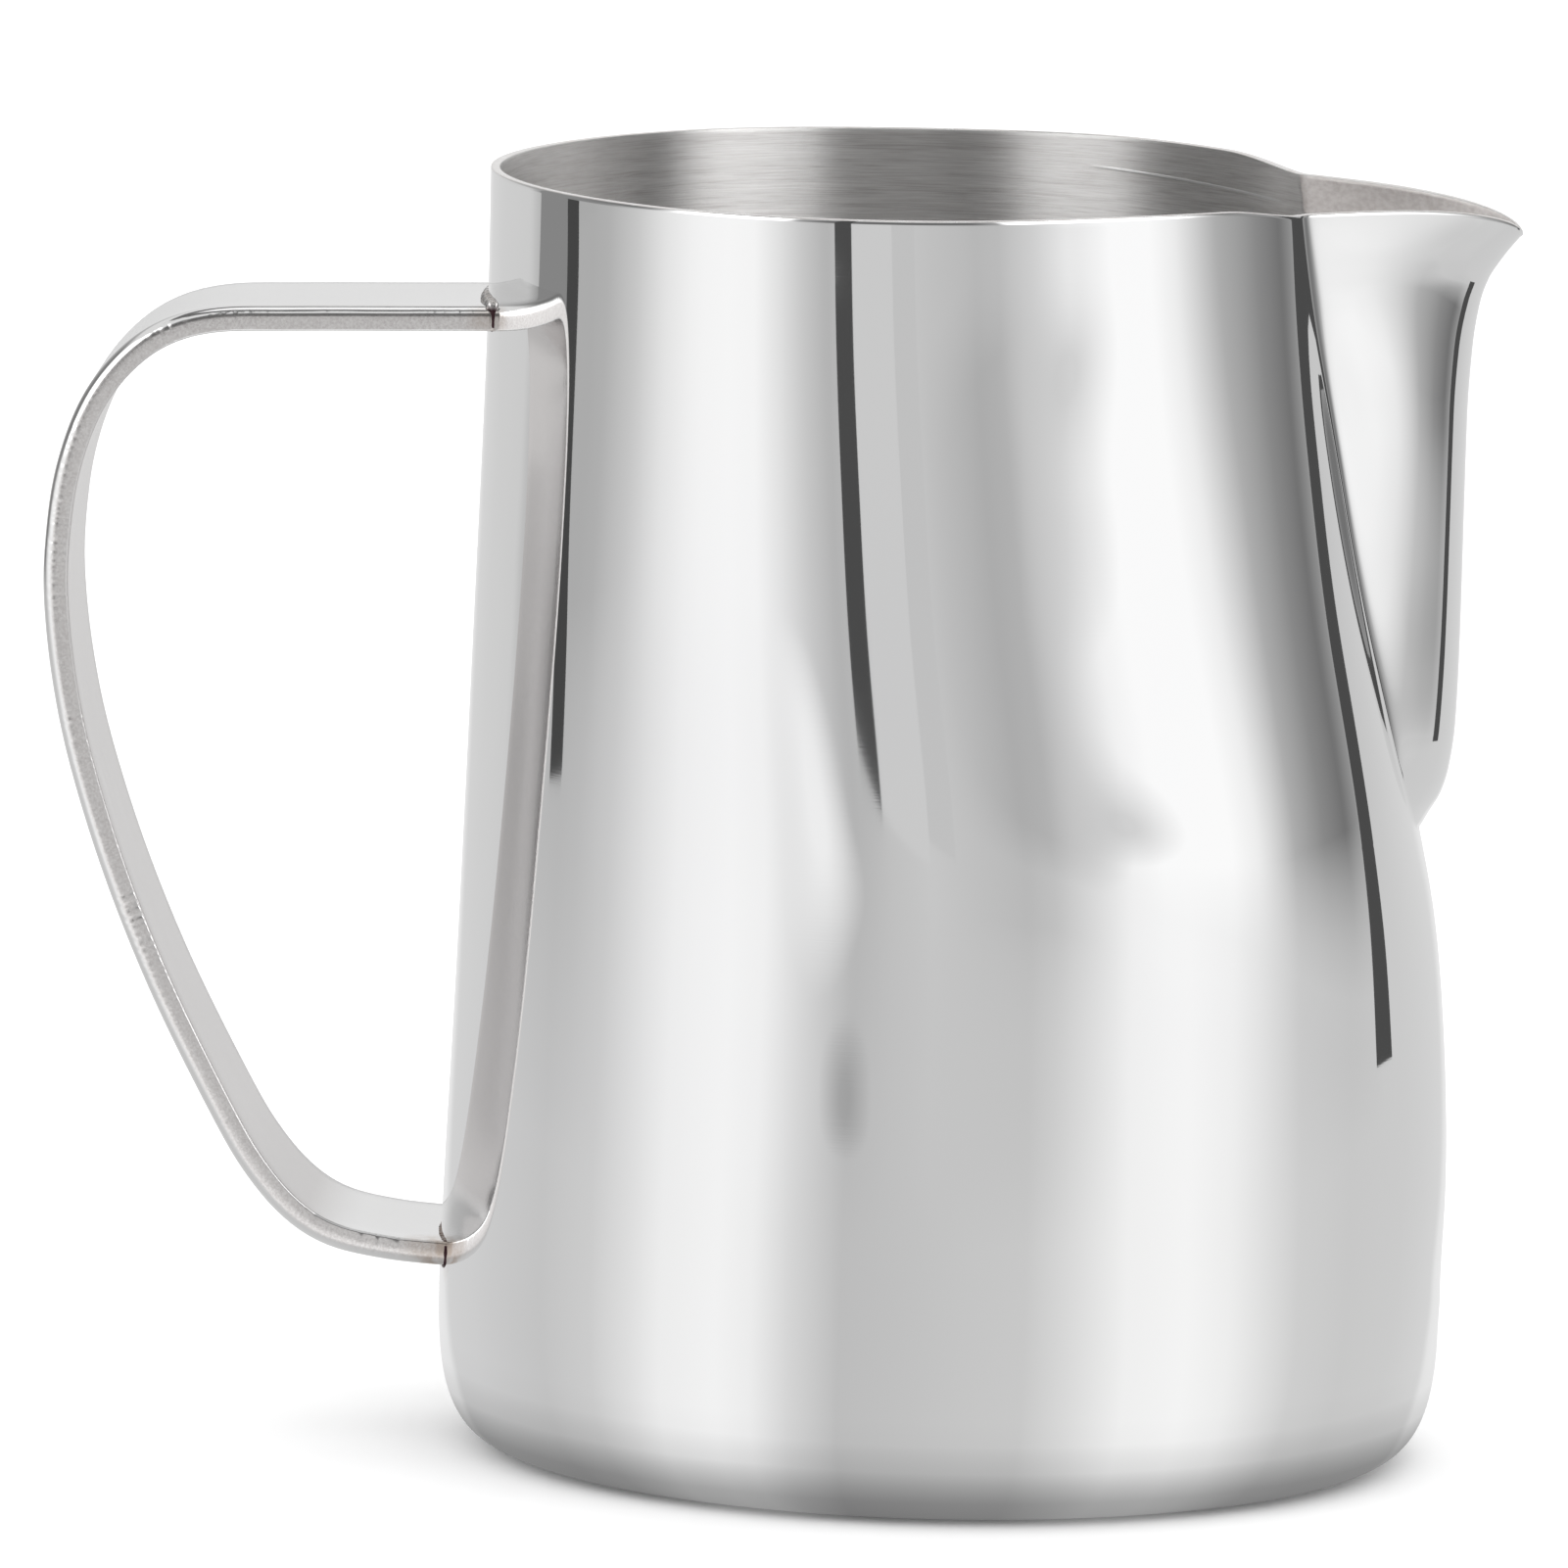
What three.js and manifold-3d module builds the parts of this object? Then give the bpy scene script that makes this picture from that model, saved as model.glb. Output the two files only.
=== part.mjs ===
// Milk frothing pitcher, 600 ml, drawn from stainless steel sheet.
//
// Frame: millimetres, +Z up, origin at the centre of the underside.
// +X points to the spout, -X to the handle, the two sides of the strap face +Y and -Y.
// Four pieces: the drawn body, the strap handle, and the two butt welds that hold it.

import * as THREE from 'three';
import Module from 'manifold-3d';
import { mergeVertices } from 'three/addons/utils/BufferGeometryUtils.js';

const wasm = await Module();
wasm.setup();

// ---------------------------------------------------------------- dimensions

const RIM_HEIGHT = 112;
const SHEET = 0.8;
const BASE_FLAT_RADIUS = 36;

// The rounded corner between base and wall is a superellipse.
const CORNER_REACH = 8;
const CORNER_HEIGHT = 14;
const CORNER_ROUNDNESS = 3.1;

// [height, radius] of the round wall.
const WALL_RADIUS = [
  [14, 44.0], [24, 43.65], [36, 43.15], [50, 42.67], [64, 42.25],
  [78, 41.85], [92, 41.46], [102, 41.31], [112, 41.42],
];

// The mouth is egg shaped: [angle from the spout, change of radius at the rim].
const MOUTH_CHANGE = [
  [0, -8.8], [15, -8.1], [31, -6.8], [50, -5.65], [65, -4.0],
  [80, -2.2], [100, -0.2], [120, 1.0], [150, 0.2], [180, 0],
];

// [height, share of the mouth's egg shape that the wall has there].
const MOUTH_SHARE = [
  [48, 0], [57, 0.05], [66, 0.22], [76, 0.46], [88, 0.68], [101, 0.93], [112, 1],
];

// Pressing the spout also moved the wall straight below it: [height, change of radius].
const FRONT_CHANGE = [
  [14, 0.1], [22, 0.5], [33, 0.72], [44, 0.24], [50, -0.4], [55.7, -1.15],
  [70, -1.2], [85, -0.8], [105, 0],
];
const FRONT_HALF_ANGLE = 14;

// The spout starts at a notch half way up and ends in a pointed lip.
const SPOUT_NOTCH_HEIGHT = 55.9;
// [height, angle from the middle of the spout to the crease beside it].
const SPOUT_CREASE_ANGLE = [
  [57.2, 7.5], [60, 12.8], [64, 16], [70, 18.2], [80, 21], [92, 24.3], [102, 27.5], [112, 31.2],
];
// [height, reach of the spout's ridge from the axis].
const SPOUT_REACH = [
  [55.9, 41.1], [57.2, 41.8], [59, 42.85], [61, 43.45], [65, 43.95], [72, 44.14], [92, 44.25],
  [98, 44.54], [102, 45.1], [104, 45.75], [106, 47.0], [108.1, 48.67], [112, 51.7],
];
// [height, exponent of the spout's section]: 1 is a sharp V, 2 is a rounded nose.
const SPOUT_ROUNDNESS = [
  [56, 2.2], [68, 2.2], [80, 2.25], [92, 2.3], [100, 1.9], [106, 1.4], [112, 1.0],
];

// The rim stands a little lower at the creases and drops again to the tip of the lip.
const RIM_DROP_AT_CREASE = 0.9;
const RIM_DROP_ANGLE = 50;
const RIM_DROP_AT_TIP = 3.0;
const RIM_DROP_POWER = 3.3;
const RIM_DROP_START = 90;
// The rim also rises a little on both sides, between the spout and the middle of the wall.
const RIM_RISE = 0.25;
const RIM_RISE_ANGLE = 68;
const RIM_RISE_HALF_ANGLE = 15;

// Flat strap handle: outline of its outer face in the XZ plane, [x, z].
const STRAP_WIDTH = 20.4;
const STRAP_THICKNESS = 2.2;
const STRAP_EDGE_RADIUS = 0.6;
// The strap sits a little beyond the middle plane.
const STRAP_SIDESTEP = 1.8;
const STRAP_OUTLINE = [
  [-36, 100.45], [-48, 100.15], [-58, 99.9], [-65, 99.55], [-69.8, 98.05], [-73.6, 95.05],
  [-76.5, 90.75], [-78.4, 84.95], [-79.2, 78.75], [-79.2, 73.25], [-78.3, 66.25], [-76.6, 58.75],
  [-73.4, 49.05], [-69.1, 38.85], [-63.8, 28.55], [-60.7, 23.45], [-57.3, 19.65],
  [-53.5, 17.35], [-48.5, 16.25], [-43.1, 15.8], [-38, 15.55],
];

// Butt welds between the strap's ends and the wall.
const WELD_THICKNESS = 1.2;
const WELD_OVERHANG = 0.4;
const PIECE_GAP = 0.3;
const UPPER_WELD_HEIGHT = 99.2;
const LOWER_WELD_HEIGHT = 16.85;
// The solid that trims strap and welds starts here; a weld is cut from a block this deep.
const TRIM_START_HEIGHT = 10;
const WELD_BLOCK_DEPTH = 12;

// ---------------------------------------------------------------- mesh density

// Columns run up the wall: across the spout (0 is the ridge, 1 the crease), then around the back.
const SPOUT_COLUMNS = [0, 0.15, 0.35, 0.6, 0.82, 1];
const WALL_COLUMNS_PER_SIDE = 24;
const CORNER_STEPS = 7;
const WALL_ROWS = [
  14, 24, 36, 46, 52, 55.9, 57.2, 59, 61, 65, 72, 82, 92, 98, 102, 104, 106, 108.5, 112,
];
const STRAP_STEPS = 46;
const TRIM_STEPS = 90;
const MERGE_DISTANCE = 1e-5;

// ---------------------------------------------------------------- helpers

// Straight-line reading of a [position, value] list, held level beyond both ends.
function read(list, position) {
  if (position <= list[0][0]) return list[0][1];
  for (let i = 1; i < list.length; i += 1) {
    const [x0, y0] = list[i - 1];
    const [x1, y1] = list[i];
    if (position <= x1) return y0 + ((y1 - y0) * (position - x0)) / (x1 - x0);
  }
  return list[list.length - 1][1];
}

function toSolid(geometry) {
  const bare = geometry.clone();
  bare.deleteAttribute('normal');
  bare.deleteAttribute('uv');
  const welded = mergeVertices(bare, MERGE_DISTANCE);
  return new wasm.Manifold(new wasm.Mesh({
    numProp: 3,
    vertProperties: new Float32Array(welded.attributes.position.array),
    triVerts: new Uint32Array(welded.index.array),
  }));
}

function toGeometry(solid) {
  const mesh = solid.getMesh();
  const geometry = new THREE.BufferGeometry();
  geometry.setAttribute('position', new THREE.BufferAttribute(mesh.vertProperties, 3));
  geometry.setIndex(new THREE.BufferAttribute(mesh.triVerts, 1));
  geometry.computeVertexNormals();
  return geometry;
}

// ---------------------------------------------------------------- body

// Radius of the wall beside and behind the spout; the angle is measured from the spout.
function wallRadius(angle, z) {
  const mouth = read(MOUTH_SHARE, z) * read(MOUTH_CHANGE, angle);
  const front = read(FRONT_CHANGE, z) * Math.exp(-0.5 * (angle / FRONT_HALF_ANGLE) ** 2);
  return read(WALL_RADIUS, z) + mouth + front;
}

function rimHeight(column) {
  if (column.spoutShare !== undefined) {
    const drop = RIM_DROP_AT_TIP * (1 - column.spoutShare) ** RIM_DROP_POWER;
    return RIM_HEIGHT - RIM_DROP_AT_CREASE - drop;
  }
  const creaseAngle = read(SPOUT_CREASE_ANGLE, RIM_HEIGHT);
  const angle = creaseAngle + (180 - creaseAngle) * column.wallShare;
  const nearness = (RIM_DROP_ANGLE - angle) / (RIM_DROP_ANGLE - creaseAngle);
  const rise = RIM_RISE * Math.exp(-0.5 * ((angle - RIM_RISE_ANGLE) / RIM_RISE_HALF_ANGLE) ** 2);
  return RIM_HEIGHT + rise - RIM_DROP_AT_CREASE * THREE.MathUtils.smoothstep(nearness, 0, 1);
}

// One point of the outer face. A column is { side, spoutShare } or { side, wallShare }.
function outerPoint(column, nominalZ) {
  let z = nominalZ;
  if (nominalZ > RIM_DROP_START) {
    const stretch = (rimHeight(column) - RIM_DROP_START) / (RIM_HEIGHT - RIM_DROP_START);
    z = RIM_DROP_START + (nominalZ - RIM_DROP_START) * stretch;
  }
  const creaseAngle = read(SPOUT_CREASE_ANGLE, z);
  if (column.spoutShare === undefined) {
    const angle = creaseAngle + (180 - creaseAngle) * column.wallShare;
    const radius = wallRadius(angle, z);
    const turn = THREE.MathUtils.degToRad(angle);
    return new THREE.Vector3(radius * Math.cos(turn), column.side * radius * Math.sin(turn), z);
  }
  if (z < SPOUT_NOTCH_HEIGHT) {
    const angle = creaseAngle * column.spoutShare;
    const radius = wallRadius(angle, z);
    const turn = THREE.MathUtils.degToRad(angle);
    return new THREE.Vector3(radius * Math.cos(turn), column.side * radius * Math.sin(turn), z);
  }
  const creaseRadius = wallRadius(creaseAngle, z);
  const creaseX = creaseRadius * Math.cos(THREE.MathUtils.degToRad(creaseAngle));
  const creaseY = creaseRadius * Math.sin(THREE.MathUtils.degToRad(creaseAngle));
  const bulge = 1 - column.spoutShare ** read(SPOUT_ROUNDNESS, z);
  const x = creaseX + (read(SPOUT_REACH, z) - creaseX) * bulge;
  return new THREE.Vector3(x, column.side * creaseY * column.spoutShare, z);
}

// One point of the base or of the rounded corner, from its radius and height on a round body.
function basePoint(column, radius, z) {
  const creaseAngle = read(SPOUT_CREASE_ANGLE, 0);
  const angle = column.spoutShare === undefined
    ? creaseAngle + (180 - creaseAngle) * column.wallShare
    : creaseAngle * column.spoutShare;
  const turn = THREE.MathUtils.degToRad(angle);
  return new THREE.Vector3(radius * Math.cos(turn), column.side * radius * Math.sin(turn), z);
}

function bodyColumns() {
  const left = SPOUT_COLUMNS.slice(1).map((share) => ({ side: 1, spoutShare: share }));
  for (let i = 1; i <= WALL_COLUMNS_PER_SIDE; i += 1) {
    left.push({ side: 1, wallShare: i / WALL_COLUMNS_PER_SIDE });
  }
  const right = left.slice(0, -1).map((column) => ({ ...column, side: -1 })).reverse();
  return [{ side: 1, spoutShare: 0 }, ...left, ...right];
}

// Rows of outer points from the middle of the base up to the rim.
function outerRows(columns) {
  const rows = [
    columns.map((column) => basePoint(column, 0, 0)),
    columns.map((column) => basePoint(column, BASE_FLAT_RADIUS, 0)),
  ];
  for (let i = 1; i < CORNER_STEPS; i += 1) {
    const turn = (Math.PI / 2) * (i / CORNER_STEPS);
    const radius = BASE_FLAT_RADIUS + CORNER_REACH * Math.sin(turn) ** (2 / CORNER_ROUNDNESS);
    const z = CORNER_HEIGHT * (1 - Math.cos(turn) ** (2 / CORNER_ROUNDNESS));
    rows.push(columns.map((column) => basePoint(column, radius, z)));
  }
  for (const z of WALL_ROWS) {
    rows.push(columns.map((column) => outerPoint(column, z)));
  }
  return rows;
}

// The inner face is the outer face moved in by the thickness of the sheet.
function innerRows(rows) {
  const last = rows.length - 1;
  const count = rows[0].length;
  return rows.map((row, r) => row.map((point, c) => {
    if (r === 0) return new THREE.Vector3(0, 0, SHEET);
    const across = new THREE.Vector3().subVectors(
      row[(c + 1) % count],
      row[(c + count - 1) % count],
    );
    const upward = new THREE.Vector3().subVectors(
      rows[Math.min(r + 1, last)][c],
      rows[r - 1][c],
    );
    const outward = across.cross(upward).normalize();
    return point.clone().addScaledVector(outward, -SHEET);
  }));
}

function makeBody() {
  const columns = bodyColumns();
  const outer = outerRows(columns);
  const inner = innerRows(outer);
  // The whole skin in one sweep: up the outside, over the rim and down the inside to the axis.
  const skin = [...outer, ...inner.reverse()];
  const profile = skin.map((row) => new THREE.Vector2(Math.max(row[0].x, 0), row[0].z));
  const geometry = new THREE.LatheGeometry(profile, columns.length);
  const position = geometry.attributes.position;
  for (let c = 0; c <= columns.length; c += 1) {
    for (let r = 0; r < skin.length; r += 1) {
      const point = skin[r][c % columns.length];
      position.setXYZ(c * skin.length + r, point.x, point.y, point.z);
    }
  }
  return toGeometry(toSolid(geometry));
}

// ---------------------------------------------------------------- handle and welds

// The round wall as a closed solid, enlarged by a clearance; it trims the handle and the welds.
function enlargedWall(clearance) {
  const profile = [new THREE.Vector2(0, TRIM_START_HEIGHT)];
  profile.push(new THREE.Vector2(WALL_RADIUS[0][1] + clearance, TRIM_START_HEIGHT));
  for (const [z, radius] of WALL_RADIUS) {
    profile.push(new THREE.Vector2(radius + clearance, z));
  }
  profile.push(new THREE.Vector2(0, RIM_HEIGHT));
  const geometry = new THREE.LatheGeometry(profile, TRIM_STEPS);
  geometry.rotateX(Math.PI / 2);
  return toSolid(geometry);
}

function makeStrap() {
  const outline = new THREE.SplineCurve(STRAP_OUTLINE.map(([x, z]) => new THREE.Vector2(x, z)));
  const outerSide = [];
  const innerSide = [];
  for (let i = 0; i <= STRAP_STEPS; i += 1) {
    const point = outline.getPoint(i / STRAP_STEPS);
    const tangent = outline.getTangent(i / STRAP_STEPS);
    outerSide.push(point);
    innerSide.push(new THREE.Vector2(
      point.x - tangent.y * STRAP_THICKNESS,
      point.y + tangent.x * STRAP_THICKNESS,
    ));
  }
  const shape = new THREE.Shape([...outerSide, ...innerSide.reverse()]);
  const geometry = new THREE.ExtrudeGeometry(shape, {
    depth: STRAP_WIDTH - 2 * STRAP_EDGE_RADIUS,
    bevelEnabled: true,
    bevelThickness: STRAP_EDGE_RADIUS,
    bevelSize: STRAP_EDGE_RADIUS,
    bevelOffset: -STRAP_EDGE_RADIUS,
    bevelSegments: 2,
  });
  geometry.translate(0, 0, STRAP_EDGE_RADIUS - STRAP_WIDTH / 2);
  geometry.rotateX(Math.PI / 2);
  geometry.translate(0, STRAP_SIDESTEP, 0);
  const trim = enlargedWall(PIECE_GAP + WELD_THICKNESS + PIECE_GAP);
  return toGeometry(toSolid(geometry).subtract(trim));
}

function makeWeld(height) {
  const block = new THREE.BoxGeometry(
    WELD_BLOCK_DEPTH,
    STRAP_WIDTH + 2 * WELD_OVERHANG,
    STRAP_THICKNESS + 2 * WELD_OVERHANG,
  );
  block.translate(-read(WALL_RADIUS, height), STRAP_SIDESTEP, height);
  const skin = enlargedWall(PIECE_GAP + WELD_THICKNESS).subtract(enlargedWall(PIECE_GAP));
  return toGeometry(toSolid(block).intersect(skin));
}

// ---------------------------------------------------------------- pieces

function piece(name, geometry, color, roughness) {
  const material = new THREE.MeshStandardMaterial({ color, roughness, metalness: 1 });
  const mesh = new THREE.Mesh(geometry, material);
  mesh.name = name;
  return mesh;
}

const pitcher = new THREE.Group();
pitcher.name = 'milk_frothing_pitcher';
pitcher.add(piece('pitcher_body', makeBody(), 0xd6d8d9, 0.08));
pitcher.add(piece('handle_strap', makeStrap(), 0xd2d3d4, 0.14));
pitcher.add(piece('upper_weld', makeWeld(UPPER_WELD_HEIGHT), 0xa9a6a3, 0.45));
pitcher.add(piece('lower_weld', makeWeld(LOWER_WELD_HEIGHT), 0x7d6757, 0.5));

export default pitcher;
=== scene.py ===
import math

import bpy
import numpy as np
from mathutils import Matrix, Vector


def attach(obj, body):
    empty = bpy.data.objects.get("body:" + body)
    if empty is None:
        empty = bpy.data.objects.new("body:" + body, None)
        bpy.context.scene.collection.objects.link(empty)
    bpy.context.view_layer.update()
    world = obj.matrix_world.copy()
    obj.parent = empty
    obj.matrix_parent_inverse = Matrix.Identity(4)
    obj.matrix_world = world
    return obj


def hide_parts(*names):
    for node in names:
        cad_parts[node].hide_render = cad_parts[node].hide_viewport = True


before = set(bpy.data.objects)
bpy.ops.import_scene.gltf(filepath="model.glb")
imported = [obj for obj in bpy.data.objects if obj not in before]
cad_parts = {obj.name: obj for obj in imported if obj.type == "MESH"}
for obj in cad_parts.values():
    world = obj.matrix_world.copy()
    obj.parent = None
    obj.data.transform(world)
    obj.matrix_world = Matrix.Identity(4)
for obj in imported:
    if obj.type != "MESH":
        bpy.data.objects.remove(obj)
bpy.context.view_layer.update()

# The milk pitcher's finished look: finer meshes over the four CAD nodes, steel
# materials, and a small studio. Shapes are worked out in millimetres and stored in
# metres, in the row frame: +Z up, +X to the spout, -X to the handle.

MM = 0.001

# ------------------------------------------------------------------ body shape, mm

RIM_HEIGHT = 112.0
SHEET = 0.8
BASE_FLAT_RADIUS = 36.0
BASE_RING_RADII = (9.0, 18.0, 27.0, 33.0, BASE_FLAT_RADIUS)
CORNER_REACH = 7.9
CORNER_HEIGHT = 14.0
CORNER_ROUNDNESS = 3.1

WALL_RADIUS = [
    (14, 43.9), (24, 43.62), (36, 43.15), (50, 42.67), (64, 42.25),
    (78, 41.85), (92, 41.46), (102, 41.3), (112, 41.3),
]
# Egg-shaped mouth: angle from the spout, change of radius at the rim.
MOUTH_CHANGE = [
    (0, -8.8), (15, -8.1), (31, -6.8), (50, -5.65), (65, -4.0),
    (80, -2.2), (100, -0.2), (120, 1.0), (150, 0.2), (180, 0.0),
]
# Height, share of the mouth's egg shape there.
MOUTH_SHARE = [
    (40, 0.0), (48, 0.0), (57, 0.05), (66, 0.22), (76, 0.46), (88, 0.685), (101, 0.89), (112, 1.0),
]
# Height, change of radius straight below and beside the spout.
FRONT_CHANGE = [
    (14, 0.1), (22, 0.5), (33, 0.72), (44, 0.24), (50, -0.4), (55.7, -1.15),
    (70, -1.2), (85, -0.8), (105, 0.0), (112, 0.0),
]
FRONT_HALF_ANGLE = 14.0

# The spout starts at a notch. Height, angle from the ridge to the crease beside it.
NOTCH_HEIGHT = 55.9
CREASE_ANGLE = [
    (55.9, 0.0), (56.3, 5.0), (57.2, 8.5), (60, 12.8), (64, 16.0), (70, 18.2), (80, 21.0),
    (92, 24.3), (102, 27.9), (112, 31.2),
]
# Angle of the spout's outermost column below the notch, where there is no crease.
LEAST_COLUMN_ANGLE = 7.5
# Height, reach of the spout's ridge from the axis.
SPOUT_REACH = [
    (55.9, 41.1), (57.2, 41.8), (59, 42.85), (61, 43.45), (65, 43.95), (72, 44.14), (92, 44.25),
    (98, 44.54), (102, 45.1), (104, 45.75), (106, 47.0), (108.1, 48.67), (112, 51.7),
]
# Height, exponent of the spout's section: 1 is a sharp V, 2 a rounded nose.
SPOUT_ROUNDNESS = [
    (56, 2.2), (68, 2.2), (80, 2.25), (92, 2.3), (100, 1.9), (106, 1.4), (112, 0.94),
]
# Radius of the valley beside the spout, the share of it left at the rim, the height over
# which it shrinks, how far it reaches in its own radii, and where the ridge is left alone.
CREASE_ROUNDING = 0.7
CREASE_ROUNDING_AT_RIM = 0.35
CREASE_ROUNDING_FADE = 8.0
CREASE_ROUNDING_REACH = 6.0
RIDGE_HALF_WIDTH = 2.5

RIM_DROP_AT_CREASE = 0.9
RIM_DROP_ANGLE = 50.0
RIM_RISE = 0.25
RIM_RISE_ANGLE = 68.0
RIM_RISE_HALF_ANGLE = 15.0
RIM_DROP_AT_TIP = 3.0
RIM_DROP_POWER = 3.3
RIM_DROP_START = 90.0
# The cut edge is crowned by this much; above this height the spout's inner face is satin.
EDGE_CROWN = 0.12
LIP_SATIN_HEIGHT = 98.0

# Columns stand closer together where they meet at the crease; rows are spaced by height.
SPOUT_COLUMNS_PER_SIDE = 44
SPOUT_CROWDING = 1.35
WALL_COLUMNS_PER_SIDE = 116
WALL_CROWDING = 1.12
CORNER_ROWS = 26
RIM_ROWS = 6
ROW_SPACING = [
    (CORNER_HEIGHT, 1.3), (46, 1.1), (53, 0.5), (55, 0.28), (62, 0.32), (68, 0.9),
    (94, 0.9), (100, 0.5), (112, 0.42),
]

# ------------------------------------------------------------------ handle and welds, mm

STRAP_WIDTH = 20.4
STRAP_THICKNESS = 2.2
STRAP_SIDESTEP = 1.8
# Outer face of the strap, seen from the side: x, z.
STRAP_OUTLINE = [
    (-36, 100.45), (-48, 100.15), (-58, 99.9), (-65, 99.55), (-69.8, 98.05), (-73.6, 95.05),
    (-76.5, 90.75), (-78.4, 84.95), (-79.17, 78.75), (-79.17, 73.25), (-78.3, 66.25), (-76.6, 58.75),
    (-73.4, 49.05), (-69.1, 38.85), (-63.8, 28.55), (-60.7, 23.45), (-57.3, 19.65),
    (-53.5, 17.35), (-48.5, 16.25), (-43.1, 15.8), (-38, 15.55),
]
STRAP_STATIONS = 900
OUTLINE_SAMPLES = 2000
OUTLINE_SMOOTHING = 61
OUTLINE_ENDS_KEPT = 40
STRAP_OUTER_EDGE_RADIUS = 0.95
STRAP_INNER_EDGE_RADIUS = 0.22
# Burrs left by the shear: height, and the two bands of depth that carry them.
BURR_HEIGHT = 0.035
BURR_DEPTH = 0.75
BURR_BAND = 0.25
INNER_BURR_BAND = 0.15
BURR_PATCH = 61
# Both ends sink into the wall. Beyond the free x the strap can't touch the wall, and its
# stations past the end x are left out.
STRAP_SINK = 0.35
STRAP_FREE_X = -60.0
STRAP_END_X = -41.2

UPPER_WELD_HEIGHT = 99.2
LOWER_WELD_HEIGHT = 16.85
WELD_STATIONS = 300
WELD_SIDES = 14
WELD_CORNER_RADIUS = 0.7
WELD_CORNER_STEPS = 6
WELD_RIPPLE_PITCH = 0.95

# ------------------------------------------------------------------ camera

CAMERA_PLACE = (0.03096, -1.47800, 0.26264)
CAMERA_HEADING = -1.7654
CAMERA_PITCH = -7.8778
CAMERA_ROLL = 1.2834
LENS = 391.65


# ------------------------------------------------------------------ small helpers


def smooth_curve(points, level_ends=True):
    """A cubic spline through (position, value) points, held level beyond both ends."""
    x = np.array([p[0] for p in points], float)
    y = np.array([p[1] for p in points], float)
    n = len(x)
    h = np.diff(x)
    slope = np.diff(y) / h
    matrix = np.zeros((n, n))
    right = np.zeros(n)
    for i in range(1, n - 1):
        matrix[i, i - 1] = h[i - 1]
        matrix[i, i] = 2 * (h[i - 1] + h[i])
        matrix[i, i + 1] = h[i]
        right[i] = 6 * (slope[i] - slope[i - 1])
    if level_ends:
        matrix[0, 0], matrix[0, 1], right[0] = 2 * h[0], h[0], 6 * slope[0]
        matrix[-1, -1], matrix[-1, -2], right[-1] = 2 * h[-1], h[-1], -6 * slope[-1]
    else:
        matrix[0, 0] = matrix[-1, -1] = 1.0
    bend = np.linalg.solve(matrix, right)

    def value(q):
        q = np.clip(np.asarray(q, float), x[0], x[-1])
        i = np.clip(np.searchsorted(x, q) - 1, 0, n - 2)
        a = (x[i + 1] - q) / h[i]
        b = 1 - a
        bow = (a**3 - a) * bend[i] + (b**3 - b) * bend[i + 1]
        return a * y[i] + b * y[i + 1] + bow * h[i] ** 2 / 6

    return value


def straight_curve(points):
    x = [p[0] for p in points]
    y = [p[1] for p in points]
    return lambda q: np.interp(q, x, y)


def monotone_curve(points):
    """A smooth curve through the points that never overshoots between them."""
    x = np.array([p[0] for p in points], float)
    y = np.array([p[1] for p in points], float)
    h = np.diff(x)
    d = np.diff(y) / h
    m = np.zeros(len(x))
    m[0], m[-1] = d[0], d[-1]
    for i in range(1, len(x) - 1):
        if d[i - 1] * d[i] > 0:
            w1, w2 = 2 * h[i] + h[i - 1], h[i] + 2 * h[i - 1]
            m[i] = (w1 + w2) / (w1 / d[i - 1] + w2 / d[i])

    def value(q):
        q = np.clip(np.asarray(q, float), x[0], x[-1])
        i = np.clip(np.searchsorted(x, q) - 1, 0, len(x) - 2)
        t = (q - x[i]) / h[i]
        return (
            (2 * t**3 - 3 * t**2 + 1) * y[i]
            + (t**3 - 2 * t**2 + t) * h[i] * m[i]
            + (3 * t**2 - 2 * t**3) * y[i + 1]
            + (t**3 - t**2) * h[i] * m[i + 1]
        )

    return value


wall_radius_at = smooth_curve(WALL_RADIUS, level_ends=False)
mouth_change_at = smooth_curve(MOUTH_CHANGE)
mouth_share_at = smooth_curve(MOUTH_SHARE, level_ends=False)
front_change_at = smooth_curve(FRONT_CHANGE)
crease_angle_at = monotone_curve(CREASE_ANGLE)
spout_reach_at = monotone_curve(SPOUT_REACH)
spout_roundness_at = smooth_curve(SPOUT_ROUNDNESS, level_ends=False)


def wall_radius(angle, z):
    mouth = mouth_share_at(z) * mouth_change_at(np.abs(angle))
    front = front_change_at(z) * np.exp(-0.5 * (angle / FRONT_HALF_ANGLE) ** 2)
    return wall_radius_at(z) + mouth + front


def smooth_step(share):
    share = np.clip(share, 0, 1)
    return share * share * (3 - 2 * share)


def mesh_object(name, verts, faces, materials, face_material=None, smooth=True):
    """A mesh in metres from points in millimetres."""
    mesh = bpy.data.meshes.new(name)
    mesh.from_pydata((np.asarray(verts, float) * MM).tolist(), [], faces)
    for material in materials:
        mesh.materials.append(material)
    if face_material is not None:
        mesh.polygons.foreach_set("material_index", face_material)
    mesh.polygons.foreach_set("use_smooth", [smooth] * len(mesh.polygons))
    mesh.update()
    made = bpy.data.objects.new(name, mesh)
    bpy.context.scene.collection.objects.link(made)
    return made


# ------------------------------------------------------------------ body mesh


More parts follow.
